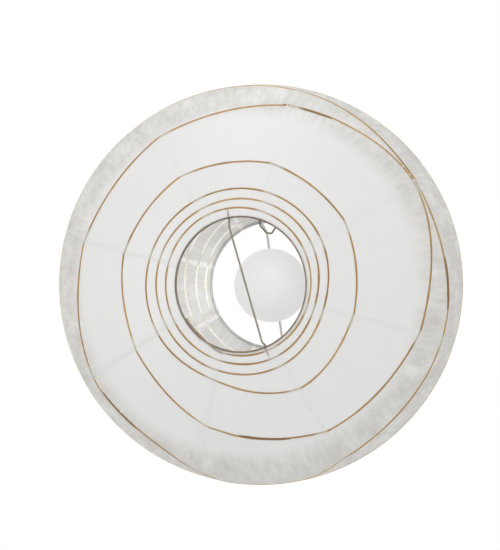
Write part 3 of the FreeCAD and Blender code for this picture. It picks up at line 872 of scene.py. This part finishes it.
# ---------------------------------------------------------------- lamp
def cad_looks():
    """CAD pieces whose shape is right keep it and take their material."""
    kept = ["bridge_wire_left", "bridge_wire_right", "holder_cap", "cord_grip_screw", "holder_skirt",
            "holder_insert", "terminal_blocks", "terminal_screws", "screw_shell", "centre_contact",
            "bulb_tip_contact", "bulb_insulator", "bulb_screw_cap", "bulb_housing", "led_plate", "driver_board"]
    slots = {s["node"]: s["material_slot"] for s in frame["record"]["subparts"]}
    for name in kept:
        piece = frame["nodes"][name]
        piece.data.materials.clear()
        piece.data.materials.append(MATERIALS[slots[name]])


def globe_piece():
    """Opal globe with a rolled lip where it meets the housing."""
    joint = next(j for j in frame["joints"] if j["name"] == "bulb_screw")
    axis, on_axis = Vector(joint["axis"]).normalized(), Vector(joint["pos_m"])
    radius, mouth, glass = GLOBE_R * MM, GLOBE_MOUTH_R * MM, GLASS * MM
    up_most = math.sqrt(radius ** 2 - mouth ** 2)
    middle_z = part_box("bulb_globe")[0].z + radius
    centre = on_axis + axis * ((middle_z - on_axis.z) / axis.z)
    polar_angle = np.linspace(0, math.pi - math.asin(mouth / radius), 60)
    outer = np.stack([radius * np.sin(polar_angle), -radius * np.cos(polar_angle)], -1)
    inner = outer[::-1] * (radius - glass) / radius
    lip = np.array([[mouth + 0.1 * MM, up_most + 0.35 * MM], [mouth - 0.6 * MM, up_most + 0.5 * MM],
                    [mouth - 1.1 * MM, up_most + 0.1 * MM]])
    outline = np.concatenate([outer[1:], lip, inner[:-1]])
    columns = 96
    turn = np.arange(columns) * 2 * math.pi / columns
    across = axis.orthogonal().normalized()
    aside = np.array(axis.cross(across))
    across, along = np.array(across), np.array(axis)
    round_axis = np.cos(turn)[:, None] * across + np.sin(turn)[:, None] * aside
    ring = [np.array(centre) + r * round_axis + h * along for r, h in outline]
    points = np.concatenate(ring)
    faces = grid_faces(len(outline), columns, closed=True)
    outer_pole, inner_pole = len(points), len(points) + 1
    poles = [np.array(centre) - along * radius, np.array(centre) - along * (radius - glass)]
    points = np.concatenate([points, poles])
    last = (len(outline) - 1) * columns
    for j in range(columns):
        k = (j + 1) % columns
        faces.append([outer_pole, k, j])
        faces.append([inner_pole, last + j, last + k])
    piece = mesh_object("opal_globe", points, faces)
    return finish_piece(piece, "opal_glass", "bulb", "bulb_globe")


# ---------------------------------------------------------------- camera, light and floor
VIEW_TILT = 16.0                      # of the line of sight from the shade's axis, degrees
VIEW_DISTANCE = 1.878
FOCAL = 97.85
AIM = Vector((0.0127, -0.0118, 0))     # where the view centre meets the bottom hoop's plane


def make_camera():
    tilt = math.radians(VIEW_TILT)
    data = bpy.data.cameras.new("camera")
    data.lens = FOCAL
    data.sensor_width = 36.0
    data.clip_end = 50
    camera = bpy.data.objects.new("camera", data)
    bpy.context.scene.collection.objects.link(camera)
    camera.location = CENTRE + Vector((math.sin(tilt), 0, -math.cos(tilt))) * VIEW_DISTANCE
    ahead = (CENTRE + AIM - camera.location).normalized()
    right = ahead.cross(Vector((0, -1, 0))).normalized()
    up = right.cross(ahead)
    camera.rotation_mode = "QUATERNION"
    camera.rotation_quaternion = Matrix((right, up, -ahead)).transposed().to_quaternion()
    bpy.context.scene.camera = camera


FLOOR_DROP = 2.25                     # the lantern hangs this far above the floor
LIGHTS = [                            # name, place and target from the bottom hoop, size, watts
    ("under_light", (0.15, -1.1, -1.75), (0, -0.05, 0), 1.6, 9.5),
    ("edge_light", (0.0, -0.30, -0.12), (0, -0.19, 0.02), 0.20, 0.055),
    ("inner_light", (-0.05, 0.0, 0.07), (-0.20, 0, 0.11), 0.05, 0.042),
]


def make_stage():
    size, floor_z = 30.0, CENTRE.z - FLOOR_DROP
    corners = [(-size, -size, floor_z), (size, -size, floor_z), (size, size, floor_z), (-size, size, floor_z)]
    floor = mesh_object("floor", corners, [[0, 1, 2, 3]], smooth=False)
    floor.data.materials.append(moulded_material("pale_floor", (0.84, 0.84, 0.83), 0.8, 3.0))
    world = bpy.data.worlds.new("studio")
    bpy.context.scene.world = world
    world.use_nodes = True
    tree = world.node_tree
    background = next(n for n in tree.nodes if n.type == "BACKGROUND")
    direction = node(tree, "ShaderNodeTexCoord").outputs["Generated"]
    split = node(tree, "ShaderNodeSeparateXYZ")
    tree.links.new(direction, split.inputs[0])
    sky = ramp(tree, split.outputs["Z"], [(0.0, (0.86,) * 3), (0.45, (0.93,) * 3), (0.80, (1.0,) * 3)])
    tree.links.new(sky, background.inputs["Color"])
    background.inputs["Strength"].default_value = 1.0
    for light in LIGHTS:
        soft_light(*light)


def soft_light(name, place, target, size, power):
    data = bpy.data.lights.new(name, "AREA")
    data.energy, data.size, data.shape = power, size, "DISK"
    light = bpy.data.objects.new(name, data)
    bpy.context.scene.collection.objects.link(light)
    light.location = CENTRE + Vector(place)
    aim = CENTRE + Vector(target) - light.location
    light.rotation_mode = "QUATERNION"
    light.rotation_quaternion = aim.to_track_quat("-Z", "Y")
    light.visible_camera = False


bpy.context.scene.view_settings.view_transform = "Standard"
make_camera()
make_stage()
hoop_piece("bottom_hoop_wire", "bottom_hoop", BOUND_AT)
hoop_piece("top_hoop_wire", "top_hoop", [])
for number in range(GORES):
    gore_piece(number)
starts = strip_starts()
for number, begin in enumerate(starts):
    is_last = number == len(starts) - 1
    stop = RUN[-1] if is_last else starts[number + 1] + SPLICE_LAP
    strip_piece(number, begin, stop, not is_last)
stretcher_piece()
cad_looks()
globe_piece()
